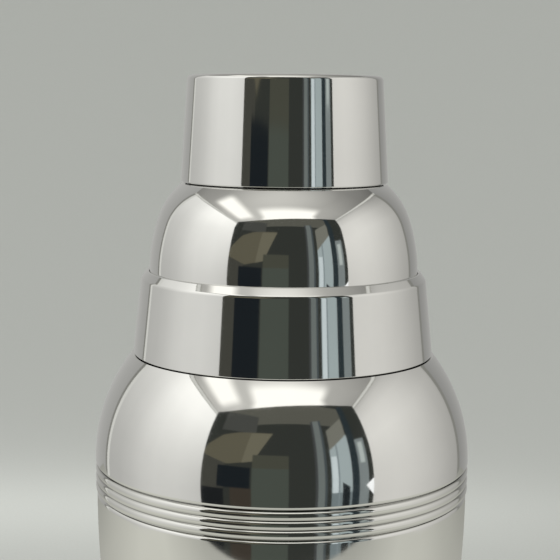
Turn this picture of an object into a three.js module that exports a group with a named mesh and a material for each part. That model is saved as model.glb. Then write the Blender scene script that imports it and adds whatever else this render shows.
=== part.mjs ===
// A three-piece cocktail shaker: a tapered cup with a domed shoulder and a beaded girdle,
// a lift-off strainer top made of a collar and a dome, and a lift-off cap.
// Millimetres, +Z up, origin at the centre of the foot's underside.

import * as THREE from 'three';

// Driving dimensions -----------------------------------------------------------------------

const TOTAL_HEIGHT = 230;
const SHEET = 1.0; // thickness of the spun sheet
const GAP = 0.3; // clearance between two pieces that meet

// Body: foot, tapered cup, beaded girdle, rounded shoulder, tapered neck
const BODY_RADIUS = 45; // crests of the beads and the shoulder's widest circle
const SHOULDER_CENTRE = 4; // the shoulder's arc is centred this far off the axis
const SHOULDER_CENTRE_Z = 138.3;
const LEDGE_Z = 163.8; // flat ledge at the top of the shoulder, where the collar sits
const NECK_HEIGHT = 16;
const CUP_TOP_RADIUS = 44.67;
const CUP_TOP_Z = 129.95; // height at which the cup rolls in to the girdle
const CUP_TAPER = 0.08; // loss of radius per millimetre down the straight part
const CUP_BEND_RADIUS = 240; // long arc that turns the straight taper upright at the top
const CUP_FLOOR_CORNER = 3;
const FOOT_HEIGHT = 3.7;
const FOOT_WIDTH = 3.4;
const BEND_STEPS = 3;

// Girdle: convex beads with thin grooves between them
const GIRDLE_FOOT_Z = 131.05;
const BEAD_COUNT = 3;
const BEAD_PITCH = 2.1;
const BEAD_RADIUS = 1.4; // radius of each bead's round face
const BEAD_STEPS = 6;
const GIRDLE_SEAT_RADIUS = 43.7; // cup and shoulder step in to this radius under the girdle
const ROLLED_RIM = 1; // radius with which the cup and the shoulder roll in to the girdle
const ROLLED_RIM_TURN = 53; // degrees turned by those rims

// Strainer top: tapered collar with a conical lip, dome, tapered neck, pierced plate
const COLLAR_FOOT_RADIUS = 35.86;
const COLLAR_TAPER = 0.1064;
const LIP_BEND_Z = 181.21; // height of the centre of the bend between the wall and the lip
const LIP_BEND_RADIUS = 1.5;
const LIP_TILT = 34; // degrees that the lip's conical face looks up
const LIP_TOP_RADIUS = 32.7;
const DOME_RADIUS = 32;
const DOME_FOOT_Z = 182.6;
const DOME_SIDE_RADIUS = 43; // flatter arc that starts upright at the dome's foot
const DOME_SIDE_TURN = 18.3; // degrees turned by that arc
const DOME_TOP_RADIUS = 18.2; // tighter arc from there up to the ledge
const DOME_SKIRT = 2.4; // upright skirt below the dome, hidden in the collar
const DOME_LEDGE_Z = 204.3; // flat ledge at the top of the dome, where the cap sits
const STRAINER_NECK_HEIGHT = 15;
const PLATE_RISE = 1.0; // height of the pierced plate above the neck's lower edge
const HOLE_RADIUS = 1.5;
const HOLE_PITCH = 5.2;
const HOLE_RINGS = 3;
const HOLE_SIDES = 10;

// Cap
const CAP_FOOT_RADIUS = 24.6;
const CAP_TAPER = 0.0635;
const CAP_CORNER = 1.1;
const CAP_CROWN = 0.4; // rise of the top from its edge to its middle

const ROLLED_EDGE = 0.4; // rounding of the sheet edges
const LATHE_SEGMENTS = 48; // a multiple of four, so the outer box is exact
const SHOULDER_STEPS = 7;
const DOME_SIDE_STEPS = 3;
const DOME_TOP_STEPS = 5;
const CORNER_STEPS = 3;

// Sizes worked out from them ---------------------------------------------------------------

const GIRDLE_TOP_Z = GIRDLE_FOOT_Z + BEAD_COUNT * BEAD_PITCH;
const GIRDLE_MIDDLE_Z = (GIRDLE_FOOT_Z + GIRDLE_TOP_Z) / 2;
const RIM_HEIGHT = ROLLED_RIM * Math.sin(THREE.MathUtils.degToRad(ROLLED_RIM_TURN));
const SHOULDER_FOOT_Z = GIRDLE_TOP_Z + GAP + RIM_HEIGHT;
const CUP_FLOOR_Z = FOOT_HEIGHT + GAP;
const SHOULDER_RADIUS = BODY_RADIUS - SHOULDER_CENTRE;
const GIRDLE_SEAT_INNER = GIRDLE_SEAT_RADIUS - 0.9 * SHEET;
const COLLAR_FOOT_Z = LEDGE_Z + GAP;
const CAP_FOOT_Z = DOME_LEDGE_Z + GAP;
const LEDGE_OVERLAP = 0.1; // the ledges reach this far inside the necks' inner walls

// Outlines are lists of [radius, height], drawn anticlockwise: up the outside, down the inside

function arc(centreRadius, centreZ, radius, fromDegrees, toDegrees, steps) {
  const points = [];
  for (let i = 0; i <= steps; i += 1) {
    const angle = THREE.MathUtils.degToRad(fromDegrees + ((toDegrees - fromDegrees) * i) / steps);
    points.push([centreRadius + radius * Math.cos(angle), centreZ + radius * Math.sin(angle)]);
  }
  return points;
}

// Degrees above the horizontal at which an arc reaches a height above its centre
function degreesAt(height, radius) {
  return THREE.MathUtils.radToDeg(Math.asin(height / radius));
}

function coneRadius(footRadius, taper, footZ, z) {
  return footRadius - taper * (z - footZ);
}

// Outer radius of the cup: straight taper below, one long arc above
function cupRadius(z) {
  const bendHeight = CUP_TAPER * CUP_BEND_RADIUS;
  const depth = CUP_TOP_Z - z;
  const bendDepth = Math.min(depth, bendHeight);
  const bendLoss = bendDepth ** 2 / (2 * CUP_BEND_RADIUS);
  return CUP_TOP_RADIUS - bendLoss - CUP_TAPER * (depth - bendDepth);
}

// Heights of the cup's outline, from the straight part's foot up to the rolled rim
function cupHeights(fromZ) {
  const bendHeight = CUP_TAPER * CUP_BEND_RADIUS;
  const heights = [fromZ];
  for (let i = 0; i <= BEND_STEPS; i += 1) {
    heights.push(CUP_TOP_Z - (bendHeight * (BEND_STEPS - i)) / BEND_STEPS);
  }
  return heights;
}

// Makes one turned piece. An outline that doesn't start on the axis is closed on itself.
function turned(name, outline, material) {
  const points = outline.map(([radius, z]) => new THREE.Vector2(radius, z));
  if (points[0].x > 0) {
    points.push(points[0].clone());
  }
  const geometry = new THREE.LatheGeometry(points, LATHE_SEGMENTS);
  geometry.rotateX(Math.PI / 2);
  const mesh = new THREE.Mesh(geometry, material);
  mesh.name = name;
  return mesh;
}

// A tapered tube that stands on a ledge, with its upper edge rolled
function taperedNeck(name, footZ, height, outerFoot, taper, material) {
  const topZ = footZ + height;
  const outerTop = coneRadius(outerFoot, taper, footZ, topZ - ROLLED_EDGE);
  const edgeCentre = outerTop - ROLLED_EDGE;
  const outline = [
    [outerFoot, footZ],
    ...arc(edgeCentre, topZ - ROLLED_EDGE, ROLLED_EDGE, 0, 90, CORNER_STEPS),
    [outerTop - SHEET, topZ],
    [outerFoot - SHEET, footZ],
  ];
  return turned(name, outline, material);
}

function polishedMetal() {
  return new THREE.MeshStandardMaterial({ color: 0xd2d2ce, roughness: 0.06, metalness: 1 });
}

function satinMetal() {
  return new THREE.MeshStandardMaterial({ color: 0xb9b8b3, roughness: 0.35, metalness: 1 });
}

// Body -------------------------------------------------------------------------------------

function footRing() {
  const outer = cupRadius(CUP_FLOOR_Z) + 0.4;
  const inner = outer - FOOT_WIDTH;
  const outline = [
    [inner, 0],
    [outer - ROLLED_EDGE, 0],
    ...arc(outer - ROLLED_EDGE, ROLLED_EDGE, ROLLED_EDGE, -60, 0, 2),
    ...arc(outer - ROLLED_EDGE, FOOT_HEIGHT - ROLLED_EDGE, ROLLED_EDGE, 0, 90, CORNER_STEPS),
    [inner, FOOT_HEIGHT],
  ];
  return turned('foot_ring', outline, polishedMetal());
}

function bodyCup() {
  const corner = CUP_FLOOR_CORNER;
  const cornerZ = CUP_FLOOR_Z + corner;
  const cornerCentre = cupRadius(cornerZ) - corner;
  const innerCorner = corner - SHEET;
  const heights = cupHeights(cornerZ);
  const outerWall = heights.slice(1).map((z) => [cupRadius(z), z]);
  const innerWall = outerWall.slice(0, -1).map(([radius, z]) => [radius - SHEET, z]);
  const seatTopZ = GIRDLE_MIDDLE_Z - GAP / 2;
  const rimCentre = CUP_TOP_RADIUS - ROLLED_RIM;
  const rim = arc(rimCentre, CUP_TOP_Z, ROLLED_RIM, 0, ROLLED_RIM_TURN, CORNER_STEPS);
  const rimTopZ = rim[CORNER_STEPS][1];
  const outline = [
    [0, CUP_FLOOR_Z],
    ...arc(cornerCentre, cornerZ, corner, -90, 0, CORNER_STEPS),
    ...outerWall.slice(0, -1),
    ...rim,
    [GIRDLE_SEAT_RADIUS, rimTopZ],
    [GIRDLE_SEAT_RADIUS, seatTopZ],
    [GIRDLE_SEAT_INNER, seatTopZ],
    ...innerWall.reverse(),
    ...arc(cornerCentre, cornerZ, innerCorner, 0, -90, CORNER_STEPS),
    [0, CUP_FLOOR_Z + SHEET],
  ];
  return turned('body_cup', outline, polishedMetal());
}

// Girdle of beads whose faces meet in the grooves
function beadedGirdle() {
  const inner = GIRDLE_SEAT_RADIUS + GAP;
  const centre = BODY_RADIUS - BEAD_RADIUS;
  const halfAngle = degreesAt(BEAD_PITCH / 2, BEAD_RADIUS);
  const outline = [[inner, GIRDLE_FOOT_Z]];
  for (let i = 0; i < BEAD_COUNT; i += 1) {
    const middleZ = GIRDLE_FOOT_Z + (i + 0.5) * BEAD_PITCH;
    const face = arc(centre, middleZ, BEAD_RADIUS, -halfAngle, halfAngle, BEAD_STEPS);
    outline.push(...(i === 0 ? face : face.slice(1)));
  }
  outline.push([inner, GIRDLE_TOP_Z]);
  return turned('beaded_girdle', outline, polishedMetal());
}

// The shoulder's arc between two heights, moved in by an inset
function shoulderArc(inset, fromZ, toZ, steps) {
  const radius = SHOULDER_RADIUS - inset;
  const start = degreesAt(fromZ - SHOULDER_CENTRE_Z, radius);
  const end = degreesAt(toZ - SHOULDER_CENTRE_Z, radius);
  return arc(SHOULDER_CENTRE, SHOULDER_CENTRE_Z, radius, start, end, steps);
}

function bodyShoulder() {
  const seatFootZ = GIRDLE_MIDDLE_Z + GAP / 2;
  const seatReach = GIRDLE_SEAT_INNER - SHOULDER_CENTRE;
  const innerFootZ = SHOULDER_CENTRE_Z + Math.sqrt((SHOULDER_RADIUS - SHEET) ** 2 - seatReach ** 2);
  const neckOuter = COLLAR_FOOT_RADIUS - SHEET - GAP;
  const ledgeInner = neckOuter - SHEET - LEDGE_OVERLAP;
  const rimCentre = BODY_RADIUS - ROLLED_RIM;
  const outline = [
    [GIRDLE_SEAT_INNER, seatFootZ],
    [GIRDLE_SEAT_RADIUS, seatFootZ],
    [GIRDLE_SEAT_RADIUS, GIRDLE_TOP_Z + GAP],
    ...arc(rimCentre, SHOULDER_FOOT_Z, ROLLED_RIM, -ROLLED_RIM_TURN, 0, CORNER_STEPS),
    ...shoulderArc(0, SHOULDER_FOOT_Z, LEDGE_Z, SHOULDER_STEPS).slice(1),
    [ledgeInner, LEDGE_Z],
    [ledgeInner, LEDGE_Z - SHEET],
    ...shoulderArc(SHEET, LEDGE_Z - SHEET, innerFootZ, SHOULDER_STEPS - 2),
  ];
  return turned('body_shoulder', outline, polishedMetal());
}

function bodyNeck() {
  const outerFoot = COLLAR_FOOT_RADIUS - SHEET - GAP;
  return taperedNeck('body_neck', COLLAR_FOOT_Z, NECK_HEIGHT, outerFoot, COLLAR_TAPER, satinMetal());
}

// Strainer top -----------------------------------------------------------------------------

function collarBand() {
  const footZ = COLLAR_FOOT_Z;
  const outerAt = (z) => coneRadius(COLLAR_FOOT_RADIUS, COLLAR_TAPER, footZ, z);
  const wallTilt = Math.atan(COLLAR_TAPER); // the bend starts square to the tapered wall
  const bendFootZ = LIP_BEND_Z + LIP_BEND_RADIUS * Math.sin(wallTilt);
  const bendCentre = outerAt(bendFootZ) - LIP_BEND_RADIUS * Math.cos(wallTilt);
  const bendStart = THREE.MathUtils.radToDeg(wallTilt);
  const bend = arc(bendCentre, LIP_BEND_Z, LIP_BEND_RADIUS, bendStart, LIP_TILT, CORNER_STEPS);
  const [faceFoot, faceFootZ] = bend[CORNER_STEPS];
  const faceRise = (faceFoot - LIP_TOP_RADIUS) / Math.tan(THREE.MathUtils.degToRad(LIP_TILT));
  const lipZ = faceFootZ + faceRise;
  const lipInner = DOME_RADIUS + GAP;
  const outline = [
    [outerAt(footZ) - SHEET, footZ],
    [outerAt(footZ) - ROLLED_EDGE, footZ],
    [outerAt(footZ + ROLLED_EDGE), footZ + ROLLED_EDGE],
    ...bend,
    [LIP_TOP_RADIUS, lipZ],
    [lipInner, lipZ],
    [lipInner, lipZ - SHEET],
    [outerAt(LIP_BEND_Z - SHEET) - SHEET, LIP_BEND_Z - SHEET],
  ];
  return turned('collar_band', outline, polishedMetal());
}

// The dome's two arcs from its foot up to a height, moved in by an inset
function domeArcs(inset, topZ) {
  const sideCentre = DOME_RADIUS - DOME_SIDE_RADIUS;
  const turn = THREE.MathUtils.degToRad(DOME_SIDE_TURN);
  const shift = DOME_SIDE_RADIUS - DOME_TOP_RADIUS;
  const topCentre = sideCentre + shift * Math.cos(turn);
  const topCentreZ = DOME_FOOT_Z + shift * Math.sin(turn);
  const topRadius = DOME_TOP_RADIUS - inset;
  const topEnd = degreesAt(topZ - topCentreZ, topRadius);
  return [
    ...arc(sideCentre, DOME_FOOT_Z, DOME_SIDE_RADIUS - inset, 0, DOME_SIDE_TURN, DOME_SIDE_STEPS),
    ...arc(topCentre, topCentreZ, topRadius, DOME_SIDE_TURN, topEnd, DOME_TOP_STEPS).slice(1),
  ];
}

function strainerDome() {
  const skirtZ = DOME_FOOT_Z - DOME_SKIRT;
  const ledgeInner = CAP_FOOT_RADIUS - 2 * SHEET - GAP - LEDGE_OVERLAP;
  const outline = [
    [DOME_RADIUS - SHEET, skirtZ],
    [DOME_RADIUS, skirtZ],
    ...domeArcs(0, DOME_LEDGE_Z),
    [ledgeInner, DOME_LEDGE_Z],
    [ledgeInner, DOME_LEDGE_Z - SHEET],
    ...domeArcs(SHEET, DOME_LEDGE_Z - SHEET).reverse(),
  ];
  return turned('strainer_dome', outline, polishedMetal());
}

function strainerNeck() {
  const outerFoot = CAP_FOOT_RADIUS - SHEET - GAP;
  return taperedNeck('strainer_neck', CAP_FOOT_Z, STRAINER_NECK_HEIGHT, outerFoot, CAP_TAPER, satinMetal());
}

// Round plate pierced with rings of holes around one middle hole
function strainerPlate() {
  const footZ = CAP_FOOT_Z + PLATE_RISE;
  const neckOuter = coneRadius(CAP_FOOT_RADIUS - SHEET - GAP, CAP_TAPER, CAP_FOOT_Z, footZ + SHEET);
  const radius = neckOuter - SHEET - GAP;
  const outline = new THREE.Shape();
  outline.absarc(0, 0, radius, 0, 2 * Math.PI, false);
  for (let ring = 0; ring <= HOLE_RINGS; ring += 1) {
    const count = Math.max(1, 6 * ring);
    for (let i = 0; i < count; i += 1) {
      outline.holes.push(holeOutline(ring * HOLE_PITCH, (2 * Math.PI * i) / count));
    }
  }
  const sides = { depth: SHEET, bevelEnabled: false, curveSegments: LATHE_SEGMENTS / 2 };
  const mesh = new THREE.Mesh(new THREE.ExtrudeGeometry(outline, sides), satinMetal());
  mesh.name = 'strainer_plate';
  mesh.position.z = footZ;
  return mesh;
}

function holeOutline(distance, angle) {
  const centreX = distance * Math.cos(angle);
  const centreY = distance * Math.sin(angle);
  const points = [];
  for (let i = 0; i < HOLE_SIDES; i += 1) {
    const turn = (-2 * Math.PI * i) / HOLE_SIDES;
    const x = centreX + HOLE_RADIUS * Math.cos(turn);
    points.push(new THREE.Vector2(x, centreY + HOLE_RADIUS * Math.sin(turn)));
  }
  return new THREE.Path(points);
}

// Cap --------------------------------------------------------------------------------------

function capShell() {
  const outerAt = (z) => coneRadius(CAP_FOOT_RADIUS, CAP_TAPER, CAP_FOOT_Z, z);
  const edgeZ = TOTAL_HEIGHT - CAP_CROWN;
  const cornerZ = edgeZ - CAP_CORNER;
  const cornerCentre = outerAt(cornerZ) - CAP_CORNER;
  const undersideZ = edgeZ - SHEET;
  const outline = [
    [outerAt(CAP_FOOT_Z) - SHEET, CAP_FOOT_Z],
    [outerAt(CAP_FOOT_Z) - ROLLED_EDGE, CAP_FOOT_Z],
    [outerAt(CAP_FOOT_Z + ROLLED_EDGE), CAP_FOOT_Z + ROLLED_EDGE],
    ...arc(cornerCentre, cornerZ, CAP_CORNER, 0, 90, CORNER_STEPS + 1),
    [cornerCentre / 2, TOTAL_HEIGHT - CAP_CROWN / 4],
    [0, TOTAL_HEIGHT],
    [0, undersideZ],
    [outerAt(undersideZ) - SHEET, undersideZ],
  ];
  return turned('cap_shell', startOnAxis(outline), polishedMetal());
}

// Turns a closed outline that crosses the axis so that it starts and ends on the axis
function startOnAxis(outline) {
  const start = outline.findLastIndex(([radius]) => radius === 0);
  return [...outline.slice(start), ...outline.slice(0, start)];
}

// Assembly ---------------------------------------------------------------------------------

const body = new THREE.Group();
body.add(footRing(), bodyCup(), beadedGirdle(), bodyShoulder(), bodyNeck());

const strainerTop = new THREE.Group();
strainerTop.add(collarBand(), strainerDome(), strainerNeck(), strainerPlate());

const cap = new THREE.Group();
cap.add(capShell());

const shaker = new THREE.Group();
shaker.add(body, strainerTop, cap);

export default shaker;
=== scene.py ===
"""A mirror-polished three-piece cocktail shaker in a plain light tent."""

import math

import bmesh
import bpy
from mathutils import Matrix, Vector


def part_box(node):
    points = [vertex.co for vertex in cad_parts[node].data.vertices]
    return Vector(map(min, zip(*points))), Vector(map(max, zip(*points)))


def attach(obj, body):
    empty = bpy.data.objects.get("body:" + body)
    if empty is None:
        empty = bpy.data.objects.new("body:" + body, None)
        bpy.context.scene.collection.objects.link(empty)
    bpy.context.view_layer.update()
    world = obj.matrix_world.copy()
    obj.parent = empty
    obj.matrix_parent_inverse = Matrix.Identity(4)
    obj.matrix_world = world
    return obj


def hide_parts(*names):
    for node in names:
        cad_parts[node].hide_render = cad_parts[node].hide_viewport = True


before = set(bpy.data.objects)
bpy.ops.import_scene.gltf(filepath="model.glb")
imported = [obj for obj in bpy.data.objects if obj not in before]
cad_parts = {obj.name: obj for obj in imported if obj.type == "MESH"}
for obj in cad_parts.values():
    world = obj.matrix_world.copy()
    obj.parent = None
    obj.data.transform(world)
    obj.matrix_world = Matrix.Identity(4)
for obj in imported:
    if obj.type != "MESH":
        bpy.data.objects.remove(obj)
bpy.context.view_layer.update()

# Outlines are in millimetres, as (radius, height); meshes are in metres
MM = 0.001
SHEET = 1.0
GAP = 0.3  # between two pieces that meet
SEGMENTS = 256

# Camera: 36 mm sensor
CAMERA_PLACE = (-0.00083, -0.3226, 0.2239)
CAMERA_PITCH = 7.565  # degrees below level
CAMERA_ROLL = 0.0095  # radians
CAMERA_LENS = 87.1

# Light tent around the shaker. Its shape is in shares of its half-width.
TENT = 1.2  # metres from the axis to the left and right walls
EYE = 0.18  # height that the tent's directions are counted from
CEILING = 1.0
BACK_LEFT, BACK_RIGHT = 0.93, 1.03
FRONT_LEFT, FRONT_RIGHT = -0.915, -0.71
VALANCE_DROP = 0.15
ROOM_DISTANCE = 2.4  # metres
TABLE_HALF = 0.42  # metres
TABLE_FRONT = -0.352  # metres, at the middle of its bowed front edge
TABLE_BOW = 0.55

# The polish's colour. Glows are divided by it, so that the metal shows them at their own level.
METAL_TINT = (0.87, 0.87, 0.855)
GROOVE_SHADE_TINT = (0.42, 0.42, 0.40)  # painted shade in the girdle's grooves


# Outlines ---------------------------------------------------------------------------------


def size_of(node):
    """Outer radius, lowest and highest z of a CAD node, in millimetres."""
    low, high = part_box(node)
    return high.x / MM, low.z / MM, high.z / MM


def arc(centre, centre_z, radius, start, end, steps):
    """Points along an arc between two angles in degrees."""
    points = []
    for i in range(steps + 1):
        angle = math.radians(start + (end - start) * i / steps)
        points.append((centre + radius * math.cos(angle), centre_z + radius * math.sin(angle)))
    return points


def spread(start, end, steps):
    """Evenly spaced values from start to end, both included."""
    return [start + (end - start) * i / steps for i in range(steps + 1)]


def degrees_at(height, radius):
    return math.degrees(math.asin(height / radius))


def cone(foot_radius, taper, foot_z, z):
    return foot_radius - taper * (z - foot_z)


# Driving dimensions, as in the CAD
FOOT_WIDTH = 3.4
BODY_RADIUS = size_of("beaded_girdle")[0]
GIRDLE_FOOT_Z, GIRDLE_TOP_Z = size_of("beaded_girdle")[1:]
BEAD_COUNT = 3
BEAD_PITCH = (GIRDLE_TOP_Z - GIRDLE_FOOT_Z) / BEAD_COUNT
BEAD_RADIUS = 1.4
SEAT_RADIUS = 43.7
SEAT_INNER = SEAT_RADIUS - 0.9 * SHEET
CUP_TOP_RADIUS = 44.67
CUP_TOP_Z = 129.95
CUP_TAPER = 0.08
CUP_BEND_RADIUS = 240
CUP_FLOOR_CORNER = 3.0
SHOULDER_CENTRE = 4.0
SHOULDER_CENTRE_Z = 138.3
SHOULDER_RADIUS = BODY_RADIUS - SHOULDER_CENTRE
COLLAR_TAPER = 0.1064
LIP_BEND_Z = 181.21
LIP_BEND_RADIUS = 1.5
LIP_TILT = 34  # degrees
LIP_TOP_RADIUS = 32.7
DOME_RADIUS = size_of("strainer_dome")[0]
DOME_FOOT_Z = 182.6
DOME_SIDE_RADIUS = 43.0
DOME_SIDE_TURN = 18.3  # degrees
DOME_TOP_RADIUS = 18.2
CAP_TAPER = 0.0635
CAP_CORNER = 1.1
CAP_CROWN = 0.4
HOLE_RADIUS = 1.5
HOLE_PITCH = 5.2
HOLE_RINGS = 3
LEDGE_OVERLAP = 0.1  # the ledges reach this far inside the necks' inner walls
ROLLED_EDGE = 0.4
ROLLED_RIM = 1.0
ROLLED_RIM_TURN = 53  # degrees

# Finer than the CAD
GROOVE_SHADE = 0.3  # radius from a groove's bottom up to where the painted groove shade ends and the beads are fully bright
LIP_SEAM = 0.05  # gap between the lip and the dome
COLLAR_EDGE = 0.25  # rounding of the collar's foot
COLLAR_FOOT_DROP = 0.12  # the collar's foot is this much closer to the ledge than in the CAD


def cup_radius(z):
    """Outer radius of the cup: straight taper below, one long arc above."""
    bend_height = CUP_TAPER * CUP_BEND_RADIUS
    depth = CUP_TOP_Z - z
    bend_depth = min(depth, bend_height)
    return CUP_TOP_RADIUS - bend_depth**2 / (2 * CUP_BEND_RADIUS) - CUP_TAPER * (depth - bend_depth)


def foot_outline():
    outer, low, high = size_of("foot_ring")
    inner = outer - FOOT_WIDTH
    edge = ROLLED_EDGE
    outside = [
        *arc(inner + edge, edge, edge, -180, -90, 6),
        *arc(outer - edge, edge, edge, -90, 0, 6),
        *arc(outer - edge, high - edge, edge, 0, 90, 6),
        *arc(inner + edge, high - edge, edge, 90, 180, 6),
    ]
    return outside, []


def cup_outline():
    low, high = size_of("body_cup")[1:]
    corner = CUP_FLOOR_CORNER
    corner_z = low + corner
    corner_centre = cup_radius(corner_z) - corner
    wall = [(cup_radius(z), z) for z in spread(corner_z, CUP_TOP_Z, 40)]
    rim = arc(CUP_TOP_RADIUS - ROLLED_RIM, CUP_TOP_Z, ROLLED_RIM, 0, ROLLED_RIM_TURN, 16)
    inner_wall = [(radius - SHEET, z) for radius, z in wall[:-1]]
    outside = [
        (0, low),
        *arc(corner_centre, corner_z, corner, -90, 0, 10),
        *wall[1:],
        *rim[1:],
        (SEAT_RADIUS, rim[-1][1]),
        (SEAT_RADIUS, high),
        (SEAT_INNER, high),
    ]
    inside = [
        *reversed(inner_wall),
        *arc(corner_centre, corner_z, corner - SHEET, 0, -90, 10)[1:],
        (0, low + SHEET),
    ]
    return outside, inside


def girdle_outline():
    """Convex beads whose round faces meet in thin grooves."""
    inner = SEAT_RADIUS + GAP
    turn = degrees_at(BEAD_PITCH / 2, BEAD_RADIUS)
    outside = [(inner, GIRDLE_FOOT_Z)]
    for i in range(BEAD_COUNT):
        middle_z = GIRDLE_FOOT_Z + (i + 0.5) * BEAD_PITCH
        face = arc(BODY_RADIUS - BEAD_RADIUS, middle_z, BEAD_RADIUS, -turn, turn, 24)
        outside += face[1:] if i else face
    outside.append((inner, GIRDLE_TOP_Z))
    return outside, []


def shoulder_arc(inset, from_z, to_z, steps):
    radius = SHOULDER_RADIUS - inset
    start = degrees_at(from_z - SHOULDER_CENTRE_Z, radius)
    end = degrees_at(to_z - SHOULDER_CENTRE_Z, radius)
    return arc(SHOULDER_CENTRE, SHOULDER_CENTRE_Z, radius, start, end, steps)


def shoulder_outline():
    low, ledge_z = size_of("body_shoulder")[1:]
    seat_reach = SEAT_INNER - SHOULDER_CENTRE
    inner_foot_z = SHOULDER_CENTRE_Z + math.sqrt((SHOULDER_RADIUS - SHEET) ** 2 - seat_reach**2)
    ledge_inner = size_of("body_neck")[0] - SHEET - LEDGE_OVERLAP
    foot_z = GIRDLE_TOP_Z + GAP + ROLLED_RIM * math.sin(math.radians(ROLLED_RIM_TURN))
    outside = [
        (SEAT_INNER, low),
        (SEAT_RADIUS, low),
        (SEAT_RADIUS, GIRDLE_TOP_Z + GAP),
        *arc(BODY_RADIUS - ROLLED_RIM, foot_z, ROLLED_RIM, -ROLLED_RIM_TURN, 0, 16),
        *shoulder_arc(0, foot_z, ledge_z, 40)[1:],
        (ledge_inner, ledge_z),
    ]
    inside = [
        (ledge_inner, ledge_z - SHEET),
        *shoulder_arc(SHEET, ledge_z - SHEET, inner_foot_z, 30),
    ]
    return outside, inside


def neck_outline(node, taper):
    """A tapered tube with its upper edge rolled."""
    outer, low, high = size_of(node)
    edge = SHEET / 2
    centre = cone(outer, taper, low, high - edge) - edge
    outside = [(outer, low), *arc(centre, high - edge, edge, 0, 180, 12)]
    return outside, [(outer - SHEET, low)]


def collar_outline():
    """Tapered wall, a bend, and a conical lip with a rolled top edge."""
    outer, low, high = size_of("collar_band")
    tilt = math.atan(COLLAR_TAPER)
    bend_foot_z = LIP_BEND_Z + LIP_BEND_RADIUS * math.sin(tilt)
    bend_centre = cone(outer, COLLAR_TAPER, low, bend_foot_z) - LIP_BEND_RADIUS * math.cos(tilt)
    lip_inner = DOME_RADIUS + LIP_SEAM
    inner_corner_z = LIP_BEND_Z - SHEET
    edge = COLLAR_EDGE
    foot_z = low - COLLAR_FOOT_DROP
    roll = (LIP_TOP_RADIUS - lip_inner) / (1 + math.cos(math.radians(LIP_TILT)))
    outside = [
        (outer - SHEET, foot_z),
        *arc(outer - edge - COLLAR_TAPER * edge, foot_z + edge, edge, -90, 0, 6),
        *arc(bend_centre, LIP_BEND_Z, LIP_BEND_RADIUS, math.degrees(tilt), LIP_TILT, 12),
        *arc(lip_inner + roll, high - roll, roll, LIP_TILT, 180, 10),
    ]
    inside = [
        (lip_inner, high - SHEET),
        (cone(outer, COLLAR_TAPER, low, inner_corner_z) - SHEET, inner_corner_z),
    ]
    return outside, inside


def dome_arcs(inset, top_z, steps):
    """The dome's flat side arc and tighter top arc, up to a height."""
    turn = math.radians(DOME_SIDE_TURN)
    side_centre = DOME_RADIUS - DOME_SIDE_RADIUS
    shift = DOME_SIDE_RADIUS - DOME_TOP_RADIUS
    top_centre = side_centre + shift * math.cos(turn)
    top_centre_z = DOME_FOOT_Z + shift * math.sin(turn)
    top_end = degrees_at(top_z - top_centre_z, DOME_TOP_RADIUS - inset)
    side = arc(side_centre, DOME_FOOT_Z, DOME_SIDE_RADIUS - inset, 0, DOME_SIDE_TURN, steps)
    top = arc(top_centre, top_centre_z, DOME_TOP_RADIUS - inset, DOME_SIDE_TURN, top_end, steps)
    return side + top[1:]


def dome_outline():
    skirt_z, ledge_z = size_of("strainer_dome")[1:]
    ledge_inner = size_of("strainer_neck")[0] - SHEET - LEDGE_OVERLAP
    outside = [
        (DOME_RADIUS - SHEET, skirt_z),
        (DOME_RADIUS, skirt_z),
        *dome_arcs(0, ledge_z, 24),
        (ledge_inner, ledge_z),
    ]
    inside = [
        (ledge_inner, ledge_z - SHEET),
        *reversed(dome_arcs(SHEET, ledge_z - SHEET, 16)),
    ]
    return outside, inside


def cap_outline():
    outer, low, high = size_of("cap_shell")
    edge_z = high - CAP_CROWN
    corner_z = edge_z - CAP_CORNER
    corner_centre = cone(outer, CAP_TAPER, low, corner_z) - CAP_CORNER
    underside_z = edge_z - SHEET
    edge = ROLLED_EDGE
    crown = [(corner_centre * (1 - t), edge_z + CAP_CROWN * t * (2 - t)) for t in spread(0, 1, 12)]
    outside = [
        (outer - SHEET, low),
        *arc(outer - edge - CAP_TAPER * edge, low + edge, edge, -90, 0, 6),
        *arc(corner_centre, corner_z, CAP_CORNER, 0, 90, 12),
        *crown[1:],
    ]
    inner_radius = cone(outer, CAP_TAPER, low, underside_z) - SHEET
    inner_corner = 1.0
    inside = [
        (0, underside_z),
        *arc(inner_radius - inner_corner, underside_z - inner_corner, inner_corner, 90, 0, 6),
    ]
    return outside, inside


# Meshes -----------------------------------------------------------------------------------


def new_object(name, mesh):
    piece = bpy.data.objects.new(name, mesh)
    bpy.context.collection.objects.link(piece)
    return piece


def turned(name, outlines, materials):
    """Turns a closed outline about the z axis. Its second list gets the second material."""
    outside, inside = outlines
    outline = outside + inside
    solid = bmesh.new()
    rings = [ring_of(solid, radius * MM, z * MM) for radius, z in outline]
    for i, lower in enumerate(rings):
        upper = rings[(i + 1) % len(rings)]
        if len(lower) == 1 and len(upper) == 1:
            continue
        slot = 1 if i >= len(outside) else 0
        for j in range(SEGMENTS):
            join_rings(solid, lower, upper, j, slot)
    mesh = bpy.data.meshes.new(name)
    solid.to_mesh(mesh)
    solid.free()
    for material in materials:
        mesh.materials.append(material)
    finish_shading(mesh)
    return new_object(name, mesh)


def ring_of(solid, radius, z):
    """A ring of vertices, or one vertex on the axis."""
    if radius < 1e-9:
        return [solid.verts.new((0, 0, z))]
    ring = []
    for j in range(SEGMENTS):
        angle = 2 * math.pi * j / SEGMENTS
        ring.append(solid.verts.new((radius * math.cos(angle), radius * math.sin(angle), z)))
    return ring


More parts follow.
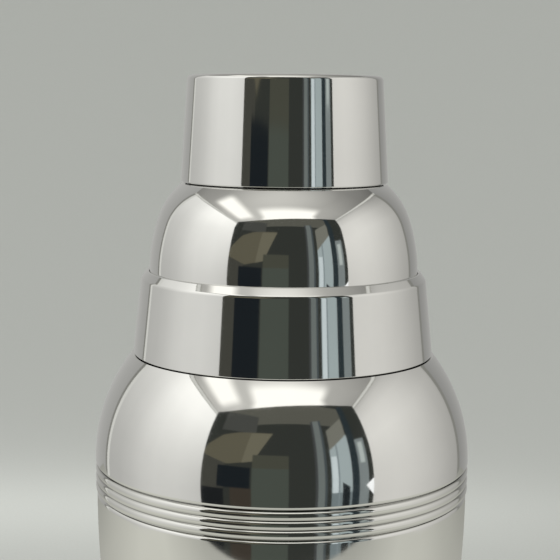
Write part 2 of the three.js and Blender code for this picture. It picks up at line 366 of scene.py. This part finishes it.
def join_rings(solid, lower, upper, j, slot):
    k = (j + 1) % SEGMENTS
    if len(lower) == 1:
        corners = (lower[0], upper[k], upper[j])
    elif len(upper) == 1:
        corners = (lower[j], lower[k], upper[0])
    else:
        corners = (lower[j], lower[k], upper[k], upper[j])
    face = solid.faces.new(corners)
    face.material_index = slot


def finish_shading(mesh):
    mesh.shade_smooth()
    mesh.set_sharp_from_angle(angle=math.radians(28))


def keep_flats_flat(piece):
    """Large faces lead the shading normals, so that small rounded edges don't bend them."""
    modifier = piece.modifiers.new("flats", "WEIGHTED_NORMAL")
    modifier.mode = "FACE_AREA"
    modifier.keep_sharp = True


def add_circle(curve, x, y, radius, points):
    spline = curve.splines.new("POLY")
    spline.points.add(points - 1)
    for i, point in enumerate(spline.points):
        angle = 2 * math.pi * i / points
        point.co = (x + radius * math.cos(angle), y + radius * math.sin(angle), 0, 1)
    spline.use_cyclic_u = True


def pierced_plate(name, material):
    """Round plate with rings of holes, every edge slightly rounded."""
    outer, low, high = size_of("strainer_plate")
    edge = 0.12
    curve = bpy.data.curves.new(name + "_outline", "CURVE")
    curve.dimensions = "2D"
    curve.fill_mode = "BOTH"
    curve.extrude = ((high - low) / 2 - edge) * MM
    curve.bevel_depth = edge * MM
    curve.bevel_resolution = 2
    curve.offset = -edge * MM
    add_circle(curve, 0, 0, outer * MM, 128)
    for ring in range(HOLE_RINGS + 1):
        count = max(1, 6 * ring)
        for i in range(count):
            angle = 2 * math.pi * i / count
            distance = ring * HOLE_PITCH * MM
            add_circle(curve, distance * math.cos(angle), distance * math.sin(angle), HOLE_RADIUS * MM, 32)
    holder = new_object(name + "_outline", curve)
    graph = bpy.context.evaluated_depsgraph_get()
    mesh = bpy.data.meshes.new_from_object(holder.evaluated_get(graph))
    bpy.data.objects.remove(holder)
    bpy.data.curves.remove(curve)
    mesh.transform(Matrix.Translation((0, 0, (low + high) / 2 * MM)))
    mesh.materials.clear()
    mesh.materials.append(material)
    finish_shading(mesh)
    return new_object(name, mesh)


# Materials --------------------------------------------------------------------------------


class Nodes:
    """Adds and links the nodes of one material."""

    def __init__(self, name):
        self.material = bpy.data.materials.new(name)
        self.material.use_nodes = True
        self.tree = self.material.node_tree
        self.tree.nodes.clear()

    def add(self, kind, **settings):
        node = self.tree.nodes.new(kind)
        for key, value in settings.items():
            setattr(node, key, value)
        return node

    def link(self, source, target):
        self.tree.links.new(source, target)

    def place(self):
        """Position in metres in the piece's own frame."""
        return self.add("ShaderNodeTexCoord").outputs["Object"]

    def vector_math(self, operation, first, second=None, scale=None):
        node = self.add("ShaderNodeVectorMath", operation=operation)
        self.link(first, node.inputs[0])
        if isinstance(second, tuple):
            node.inputs[1].default_value = second
        elif second is not None:
            self.link(second, node.inputs[1])
        if scale is not None:
            node.inputs["Scale"].default_value = scale
        return node

    def math(self, operation, first, second=0.0):
        node = self.add("ShaderNodeMath", operation=operation)
        for socket, value in zip(node.inputs, (first, second)):
            if isinstance(value, (int, float)):
                socket.default_value = value
            else:
                self.link(value, socket)
        return node.outputs[0]

    def flat_and_radius(self, place):
        """A place without its height, and its distance from the axis."""
        flat = self.vector_math("MULTIPLY", place, (1, 1, 0)).outputs[0]
        return flat, self.vector_math("LENGTH", flat).outputs["Value"]

    def turning_vector(self, around, along):
        """Coordinates that vary slowly round the axis and quickly along the outline."""
        place = self.place()
        flat, radius = self.flat_and_radius(place)
        direction = self.vector_math("NORMALIZE", flat).outputs[0]
        circle = self.vector_math("SCALE", direction, scale=around).outputs[0]
        parts = self.add("ShaderNodeSeparateXYZ")
        self.link(place, parts.inputs[0])
        height = self.math("ADD", parts.outputs["Z"], radius)
        line = self.add("ShaderNodeCombineXYZ")
        self.link(self.math("MULTIPLY", height, along), line.inputs["Z"])
        return self.vector_math("ADD", circle, line.outputs[0]).outputs[0]

    def noise(self, vector, scale, detail, roughness):
        node = self.add("ShaderNodeTexNoise")
        node.inputs["Scale"].default_value = scale
        node.inputs["Detail"].default_value = detail
        node.inputs["Roughness"].default_value = roughness
        self.link(vector, node.inputs["Vector"])
        return node.outputs["Fac"]

    def remap(self, value, low, high, to_low, to_high):
        node = self.add("ShaderNodeMapRange")
        self.link(value, node.inputs["Value"])
        for socket, number in zip(
            ("From Min", "From Max", "To Min", "To Max"), (low, high, to_low, to_high)
        ):
            node.inputs[socket].default_value = number
        return node.outputs["Result"]

    def blend(self, factor, first, second):
        """Mixes two colours by a factor."""
        node = self.add("ShaderNodeMix", data_type="RGBA")
        self.link(factor, node.inputs["Factor"])
        for socket, value in zip((node.inputs[6], node.inputs[7]), (first, second)):
            if isinstance(value, tuple):
                socket.default_value = (*value, 1)
            else:
                self.link(value, socket)
        return node.outputs[2]

    def bump(self, height, distance, strength):
        node = self.add("ShaderNodeBump")
        node.inputs["Strength"].default_value = strength
        node.inputs["Distance"].default_value = distance
        self.link(height, node.inputs["Height"])
        return node.outputs["Normal"]

    def metal(self, colour, roughness, normal, anisotropy=0.0, metallic=1.0):
        shader = self.add("ShaderNodeBsdfPrincipled")
        shader.inputs["Metallic"].default_value = metallic
        shader.inputs["Anisotropic"].default_value = anisotropy
        self.link(colour, shader.inputs["Base Color"])
        self.link(roughness, shader.inputs["Roughness"])
        self.link(normal, shader.inputs["Normal"])
        output = self.add("ShaderNodeOutputMaterial")
        self.link(shader.outputs[0], output.inputs["Surface"])
        return self.material


def paint_groove_shade(nodes, colour):
    """Paints shade into the girdle's grooves: darkens the colour towards each groove's bottom."""
    _, radius = nodes.flat_and_radius(nodes.place())
    groove = BODY_RADIUS - BEAD_RADIUS + math.sqrt(BEAD_RADIUS**2 - (BEAD_PITCH / 2) ** 2)
    # share of the bead's own colour: painted groove shade at the bottom, full colour above
    polish = nodes.remap(radius, groove * MM, (groove + GROOVE_SHADE) * MM, 0, 1)
    return nodes.blend(polish, GROOVE_SHADE_TINT, colour)


def polished_metal(name, tint, shade_grooves=False):
    """Mirror polish with a faint haze, wiping marks and fine hairlines."""
    nodes = Nodes(name)
    place = nodes.place()
    haze = nodes.noise(place, 55, 4, 0.6)
    wiping = nodes.noise(nodes.turning_vector(1.6, 900), 1.0, 4, 0.65)
    hairline = nodes.noise(nodes.turning_vector(5.0, 6500), 1.0, 2, 0.5)
    darker = tuple(channel * 0.965 for channel in tint)
    colour = nodes.blend(nodes.remap(haze, 0.35, 0.7, 0, 1), tint, darker)
    if shade_grooves:
        # painted shade in the girdle's grooves
        colour = paint_groove_shade(nodes, colour)
    smear = nodes.remap(wiping, 0.45, 0.75, 0.0, 0.018)
    scratch = nodes.remap(hairline, 0.66, 0.76, 0.0, 0.03)
    roughness = nodes.math("ADD", nodes.math("ADD", smear, scratch), 0.05)
    normal = nodes.bump(hairline, 0.00000012, 0.6)
    return nodes.metal(colour, roughness, normal)


def satin_metal(name, tint, roughness_low, roughness_high, metallic=1.0):
    """Satin finish with fine turning lines. Less than fully metallic, it scatters some light."""
    nodes = Nodes(name)
    lines = nodes.noise(nodes.turning_vector(2.5, 5200), 1.0, 3, 0.6)
    cloud = nodes.noise(nodes.place(), 90, 3, 0.5)
    darker = tuple(channel * 0.86 for channel in tint)
    colour = nodes.blend(nodes.remap(lines, 0.3, 0.7, 0, 1), tint, darker)
    streaks = nodes.remap(lines, 0.3, 0.7, roughness_low, roughness_high)
    clouds = nodes.remap(cloud, 0.3, 0.7, -0.03, 0.04)
    roughness = nodes.math("ADD", streaks, clouds)
    normal = nodes.bump(lines, 0.000004, 0.5)
    return nodes.metal(colour, roughness, normal, 0.45, metallic)


# Object -----------------------------------------------------------------------------------


def add_piece(piece, node, body):
    keep_flats_flat(piece)
    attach(piece, body)
    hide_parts(node)
    return piece


def make_shaker():
    mirror = polished_metal("mirror_polish", METAL_TINT)
    girdle = polished_metal("girdle_polish_groove_shade", (0.85, 0.85, 0.83), shade_grooves=True)
    inner = satin_metal("inside_satin", (0.72, 0.715, 0.70), 0.22, 0.34, 0.75)
    satin = satin_metal("neck_satin", (0.74, 0.735, 0.72), 0.16, 0.28)
    metals = [mirror, inner]

    body = "shaker_body"
    add_piece(turned("foot_ring_turned", foot_outline(), [mirror]), "foot_ring", body)
    add_piece(turned("cup_turned", cup_outline(), metals), "body_cup", body)
    add_piece(turned("girdle_turned", girdle_outline(), [girdle]), "beaded_girdle", body)
    add_piece(turned("shoulder_turned", shoulder_outline(), metals), "body_shoulder", body)
    body_neck = turned("body_neck_turned", neck_outline("body_neck", COLLAR_TAPER), [satin, inner])
    add_piece(body_neck, "body_neck", body)

    body = "strainer_top"
    add_piece(turned("collar_turned", collar_outline(), metals), "collar_band", body)
    add_piece(turned("dome_turned", dome_outline(), metals), "strainer_dome", body)
    top_neck = turned("strainer_neck_turned", neck_outline("strainer_neck", CAP_TAPER), [satin, inner])
    add_piece(top_neck, "strainer_neck", body)
    add_piece(pierced_plate("strainer_plate_pierced", satin), "strainer_plate", body)

    add_piece(turned("cap_turned", cap_outline(), metals), "cap_shell", "cap")


# Stage and light --------------------------------------------------------------------------


def linear(level):
    """Scene light of a display level from 0 to 255."""
    return (level / 255) ** 2.2


def stepped(nodes, value, stops):
    """A number that follows a list of (place, number) stops along a value."""
    low, high = stops[0][0], stops[-1][0]
    share = nodes.remap(value, low, high, 0, 1)
    ramp = nodes.add("ShaderNodeValToRGB")
    elements = ramp.color_ramp.elements
    while len(elements) < len(stops):
        elements.new(0.5)
    for element, (place, number) in zip(elements, stops):
        element.position = (place - low) / (high - low)
        element.color = (number, number, number, 1)
    nodes.link(share, ramp.inputs["Fac"])
    return ramp.outputs["Color"]


def tent_place(nodes):
    """Position in shares of the tent's half-width, counted from the eye height."""
    shifted = nodes.vector_math("SUBTRACT", nodes.place(), (0, 0, EYE)).outputs[0]
    return nodes.vector_math("SCALE", shifted, scale=1 / TENT).outputs[0]


def glow_material(name, tint, gradients, lamps=()):
    """Plain light. Gradients multiply its display level; soft-edged lamps lie over them."""
    nodes = Nodes(name)
    place = tent_place(nodes)
    shown = 1.0
    for axis, stops in gradients:
        if axis == "radius":
            _, value = nodes.flat_and_radius(place)
        else:
            value = nodes.vector_math("DOT_PRODUCT", place, axis).outputs["Value"]
        shown = nodes.math("MULTIPLY", shown, stepped(nodes, value, stops))
    for centre, half, soft, lamp_level in lamps:
        mask = lamp_mask(nodes, place, centre, half, soft)
        rest = nodes.math("MULTIPLY", shown, nodes.math("SUBTRACT", 1.0, mask))
        shown = nodes.math("ADD", rest, nodes.math("MULTIPLY", mask, lamp_level / 255))
    light = nodes.math("DIVIDE", nodes.math("POWER", shown, 2.2), METAL_TINT[0])
    shader = nodes.add("ShaderNodeEmission")
    shader.inputs["Color"].default_value = (*tint, 1)
    nodes.link(light, shader.inputs["Strength"])
    output = nodes.add("ShaderNodeOutputMaterial")
    nodes.link(shader.outputs[0], output.inputs["Surface"])
    nodes.material.cycles.emission_sampling = "NONE"
    return nodes.material


def lamp_mask(nodes, place, centre, half, soft):
    """1 inside a box in x and y, falling softly to 0 over its edge."""
    parts = nodes.add("ShaderNodeSeparateXYZ")
    nodes.link(place, parts.inputs[0])
    sides = []
    for socket, middle, reach, edge in zip(("X", "Y"), centre, half, soft):
        offset = nodes.math("ABSOLUTE", nodes.math("SUBTRACT", parts.outputs[socket], middle))
        side = nodes.add("ShaderNodeMapRange", interpolation_type="SMOOTHSTEP")
        nodes.link(offset, side.inputs["Value"])
        for key, number in (("From Min", reach - edge), ("From Max", reach + edge)):
            side.inputs[key].default_value = number
        side.inputs["To Min"].default_value = 1
        side.inputs["To Max"].default_value = 0
        sides.append(side.outputs["Result"])
    return nodes.math("MULTIPLY", *sides)


def even_glow(name, colour):
    """Even light that the polished metal shows at a display colour."""
    nodes = Nodes(name)
    shader = nodes.add("ShaderNodeEmission")
    shader.inputs["Color"].default_value = (*(linear(level) / METAL_TINT[0] for level in colour), 1)
    output = nodes.add("ShaderNodeOutputMaterial")
    nodes.link(shader.outputs[0], output.inputs["Surface"])
    nodes.material.cycles.emission_sampling = "NONE"
    return nodes.material


def panel(name, corners, material):
    """A flat sheet that only reflections see. Corners are in metres."""
    mesh = bpy.data.meshes.new(name)
    mesh.from_pydata([Vector(corner) for corner in corners], [], [tuple(range(len(corners)))])
    mesh.materials.append(material)
    sheet = new_object(name, mesh)
    sheet.visible_camera = False
    sheet.visible_diffuse = False
    sheet.visible_shadow = False
    sheet.visible_transmission = False


def tent_point(x, y, z):
    """A point given in shares of the tent's half-width above the eye height."""
    return (x * TENT, y * TENT, EYE + z * TENT)


def upright(name, start, end, low, high, material):
    """An upright sheet between two points on the plan."""
    corners = [tent_point(*start, low), tent_point(*end, low), tent_point(*end, high)]
    corners.append(tent_point(*start, high))
    panel(name, corners, material)


def make_tent_walls():
    left = glow_material("tent_left", (1.0, 0.995, 0.955), (
        ((0, 1, 0), [(-0.92, 0.77), (-0.5, 0.81), (-0.18, 0.81), (0.0, 0.785), (0.2, 0.735),
                     (0.4, 0.705), (0.93, 0.68)]),
        ((0, 0, 1), [(-0.25, 0.96), (0.0, 1.0), (0.4, 1.12), (0.67, 1.21), (1.0, 1.26)]),
    ))
    right = glow_material("tent_right", (1.0, 0.985, 0.935), (
        ((0, 1, 0), [(-0.71, 0.79), (-0.36, 0.80), (-0.18, 0.79), (0.0, 0.765), (0.2, 0.73),
                     (0.4, 0.69), (0.6, 0.655), (0.84, 0.63), (1.03, 0.55)]),
        ((0, 0, 1), [(-0.25, 0.98), (0.0, 1.0), (0.4, 1.06), (0.67, 1.03), (0.85, 0.95), (1.0, 0.8)]),
    ))
    back = glow_material("tent_back", (1.0, 0.995, 0.96), (
        ((1, 0, 0), [(-1.0, 0.60), (-0.2, 0.66), (0.3, 0.61), (1.0, 0.53)]),
    ))
    upright("tent_left", (-1, FRONT_LEFT), (-1, BACK_LEFT), -0.9, CEILING, left)
    upright("tent_right", (1, FRONT_RIGHT), (1, BACK_RIGHT), -0.9, CEILING, right)
    upright("tent_back", (-1, BACK_LEFT), (1, BACK_RIGHT), -0.9, CEILING, back)


def make_tent_ceiling():
    lamps = (
        ((0.07, -0.80), (0.44, 0.27), (0.07, 0.13), 262),
        ((-0.71, -0.36), (0.16, 0.45), (0.07, 0.12), 262),
    )
    ceiling = glow_material("tent_ceiling", (1.0, 0.985, 0.925), (
        ("radius", [(0.0, 0.76), (0.3, 0.69), (0.6, 0.60), (1.0, 0.57), (1.4, 0.50)]),
        ((1, 0, 0), [(-1.0, 1.12), (0.0, 1.0), (1.0, 0.92)]),
        ((0, 1, 0), [(-1.0, 1.26), (-0.45, 1.16), (0.0, 1.0), (0.3, 0.91), (1.0, 0.86)]),
    ), lamps)
    corners = [
        tent_point(-1, BACK_LEFT, CEILING),
        tent_point(1, BACK_RIGHT, CEILING),
        tent_point(1, FRONT_RIGHT, CEILING),
        tent_point(-1, FRONT_LEFT, CEILING),
    ]
    panel("tent_ceiling", corners, ceiling)
    lower = []
    for share in spread(0, 1, 16):
        y = FRONT_LEFT + (FRONT_RIGHT - FRONT_LEFT) * share
        drop = VALANCE_DROP * 4 * share * (1 - share)
        lower.append(tent_point(2 * share - 1, y, CEILING - drop))
    panel("tent_valance", lower, ceiling)


def make_tent_seams():
    """Darker folds and a lighter hem at the back corners, and hems between thin seams overhead."""
    fold = even_glow("tent_fold", (124, 124, 119))
    hem = even_glow("tent_hem", (200, 200, 195))
    seam = even_glow("tent_seam", (128, 127, 119))
    inset = 0.995
    upright("fold_left", (-inset, BACK_LEFT - 0.09), (-inset, BACK_LEFT), -0.9, CEILING, fold)
    upright("hem_left", (-inset, BACK_LEFT - 0.19), (-inset, BACK_LEFT - 0.09), -0.9, CEILING, hem)
    upright("fold_right", (inset, BACK_RIGHT - 0.13), (inset, BACK_RIGHT), -0.9, CEILING, fold)
    for side, x, front, back in (
        ("left", -inset, FRONT_LEFT, BACK_LEFT), ("right", inset, FRONT_RIGHT, BACK_RIGHT)
    ):
        for part, low, high, glow in (
            ("edge", CEILING - 0.012, CEILING, seam),
            ("hem", CEILING - 0.06, CEILING - 0.012, hem),
            ("seam", CEILING - 0.07, CEILING - 0.06, seam),
        ):
            upright(f"ceiling_{part}_{side}", (x, front), (x, back), low, high, glow)


def room_patch(name, directions, colour, nearer=0.0):
    """A flat patch of the room in front of the tent. Directions are (azimuth, elevation)."""
    distance = ROOM_DISTANCE - nearer
    corners = []
    for azimuth, elevation in directions:
        turn, rise = math.radians(azimuth), math.radians(elevation)
        height = distance / math.cos(turn) * math.tan(rise)
        corners.append((distance * math.tan(turn), -distance, EYE + height))
    panel(name, corners, even_glow(name, colour))


def room_strip(name, azimuths, elevations, colour, nearer=0.0):
    (left, right), (low, high) = azimuths, elevations
    room_patch(name, [(left, low), (right, low), (right, high), (left, high)], colour, nearer)


def make_room():
    """A plain dim room seen through the tent's front opening: wall, boards, door, window."""
    low = -40
    room_strip("room_wall", (-65, 65), (low, 62), (52, 54, 51))
    room_strip("room_beam", (-60, 60), (40, 52), (86, 88, 85), 0.01)
    room_strip("room_upper", (-40, 44), (28, 40), (86, 86, 79), 0.02)
    room_strip("room_upper_side", (-40, -17), (28, 39), (70, 71, 68), 0.03)
    room_strip("room_corner", (-60, -34), (-7, 11), (66, 66, 61), 0.02)
    room_strip("room_corner_foot", (-60, -34), (low, -7), (34, 36, 37), 0.02)
    board = [(-49, 12), (-46, 18), (-38, 25), (-28, 28), (-6, 29), (-17, 11), (-33, 8)]
    room_patch("room_board", board, (90, 87, 74), 0.04)
    room_patch("room_board_light", [(-24, 9.6), (-17, 11), (-6, 29), (-20, 28.3)], (102, 99, 85), 0.045)
    room_strip("room_cabinet", (-38, -18.5), (-6, 6.8), (32, 36, 39), 0.05)
    room_strip("room_drawer", (-30, -17.5), (low, -6), (61, 56, 50), 0.05)
    room_strip("room_door_head", (-17.5, 4), (6.8, 15), (70, 71, 63), 0.05)
    room_strip("room_door", (-17.5, 4), (low, 6.8), (71, 76, 70), 0.05)
    room_strip("room_jamb", (19.5, 21.0), (low, 36), (66, 68, 68), 0.05)
    room_strip("room_post", (21.0, 25.0), (low, 36), (104, 110, 108), 0.06)
    room_strip("room_post_shade", (25.0, 26.5), (low, 36), (70, 76, 78), 0.06)
    blind = [(29, low), (41, low), (41, 35), (29, 29)]
    room_patch("room_blind", blind, (112, 112, 104), 0.05)
    window = [(29, low), (41.5, low), (41.5, 25), (29, 17)]
    room_patch("room_window", window, (152, 163, 164), 0.06)
    room_strip("room_window_pane", (29.5, 33), (-9, 13), (190, 200, 202), 0.07)
    room_strip("room_window_foot", (29, 41.5), (low, -9), (110, 120, 122), 0.07)
    room_strip("room_window_bar", (33, 34), (low, 20), (118, 128, 131), 0.08)
    room_strip("room_frame", (41.5, 46), (low, 42), (45, 52, 55), 0.06)
    room_strip("room_side_window", (46, 52), (low, 21), (120, 127, 127), 0.06)
    room_strip("room_side_pane", (47.5, 50.5), (7, 19), (168, 176, 173), 0.07)
    sill = [(36, low), (40.5, low), (40, -6), (35.5, -3)]
    room_patch("room_sill", sill, (38, 42, 44), 0.09)
    room_patch("room_card", [(50.2, -6.3), (56, -13), (56, -2)], (246, 248, 248), 0.1)


def make_floor():
    """A pale floor that rises into an all-round backdrop with no edge."""
    flat_radius, bend = 0.9, 1.6
    outline = [(0, 0), (0.1, 0), (0.3, 0), (0.6, 0)] + arc(flat_radius, bend, bend, -90, -8, 24)
    bowl = bmesh.new()
    rings = [ring_of(bowl, radius, z) for radius, z in outline]
    for inner, outer in zip(rings, rings[1:]):
        for j in range(SEGMENTS):
            join_rings(bowl, outer, inner, j, 0)
    mesh = bpy.data.meshes.new("studio_floor")
    bowl.to_mesh(mesh)
    bowl.free()
    mesh.shade_smooth()
    mesh.materials.append(floor_material())
    floor = new_object("studio_floor", mesh)
    floor.visible_glossy = False


def make_table():
    """The table as reflections see it: bowed in front, darker there, with the foot's shadow painted into
    its glow.
    """
    glow = glow_material("table_glow", (1.0, 1.0, 0.90), (
        ((0, 1, 0), [(-0.24, 0.66), (-0.19, 0.71), (-0.11, 0.77), (0.0, 0.76), (0.2, 0.66), (0.35, 0.57)]),
        ((1, 0, 0), [(-0.35, 1.0), (0.35, 0.945)]),
        # painted shadow around the shaker's foot
        ("radius", [(0.025, 0.45), (0.045, 0.68), (0.08, 0.88), (0.16, 1.0), (0.6, 1.0)]),
    ))
    z = 0.0002
    front = [(x, TABLE_FRONT + TABLE_BOW * x * x, z) for x in spread(-TABLE_HALF, TABLE_HALF, 16)]
    panel("studio_table", [*front, (TABLE_HALF, TABLE_HALF, z), (-TABLE_HALF, TABLE_HALF, z)], glow)


def floor_material():
    nodes = Nodes("floor_paint")
    grain = nodes.noise(nodes.place(), 700, 3, 0.5)
    colour = nodes.blend(nodes.remap(grain, 0.3, 0.7, 0, 1), (0.588, 0.603, 0.568), (0.608, 0.623, 0.588))
    shader = nodes.add("ShaderNodeBsdfPrincipled")
    shader.inputs["Roughness"].default_value = 1.0
    shader.inputs["Specular IOR Level"].default_value = 0.0
    nodes.link(colour, shader.inputs["Base Color"])
    output = nodes.add("ShaderNodeOutputMaterial")
    nodes.link(shader.outputs[0], output.inputs["Surface"])
    return nodes.material


def add_lamp(name, place, target, size, power):
    light = bpy.data.lights.new(name, "AREA")
    light.shape = "ELLIPSE"
    light.size, light.size_y = size
    light.energy = power
    lamp = new_object(name, light)
    lamp.location = place
    lamp.rotation_euler = (Vector(target) - Vector(place)).to_track_quat("-Z", "Y").to_euler()
    lamp.visible_camera = False
    lamp.visible_glossy = False


def make_light():
    world = bpy.data.worlds.new("studio_world")
    world.use_nodes = True
    background = world.node_tree.nodes["Background"]
    background.inputs["Color"].default_value = (1.0, 1.0, 1.0, 1)
    background.inputs["Strength"].default_value = 0.77
    bpy.context.scene.world = world
    add_lamp("overhead_light", (-0.3, 0.1, 2.4), (-0.3, 0.1, 0), (1.6, 1.6), 3)
    add_lamp("floor_light", (-0.2, 0.40, 0.10), (-0.2, 0.40, 0), (0.8, 0.04), 0.13)


def make_camera():
    camera = bpy.data.cameras.new("photo_camera")
    camera.sensor_width = 36
    camera.lens = CAMERA_LENS
    camera.clip_start = 0.01
    camera.clip_end = 20
    holder = new_object("photo_camera", camera)
    pitch = Matrix.Rotation(math.radians(90 - CAMERA_PITCH), 4, "X")
    roll = Matrix.Rotation(CAMERA_ROLL, 4, "Z")
    holder.matrix_world = Matrix.Translation(CAMERA_PLACE) @ pitch @ roll
    bpy.context.scene.camera = holder


make_camera()
make_shaker()
make_tent_walls()
make_tent_ceiling()
make_tent_seams()
make_room()
make_floor()
make_table()
make_light()
bpy.context.scene.view_settings.view_transform = "Standard"
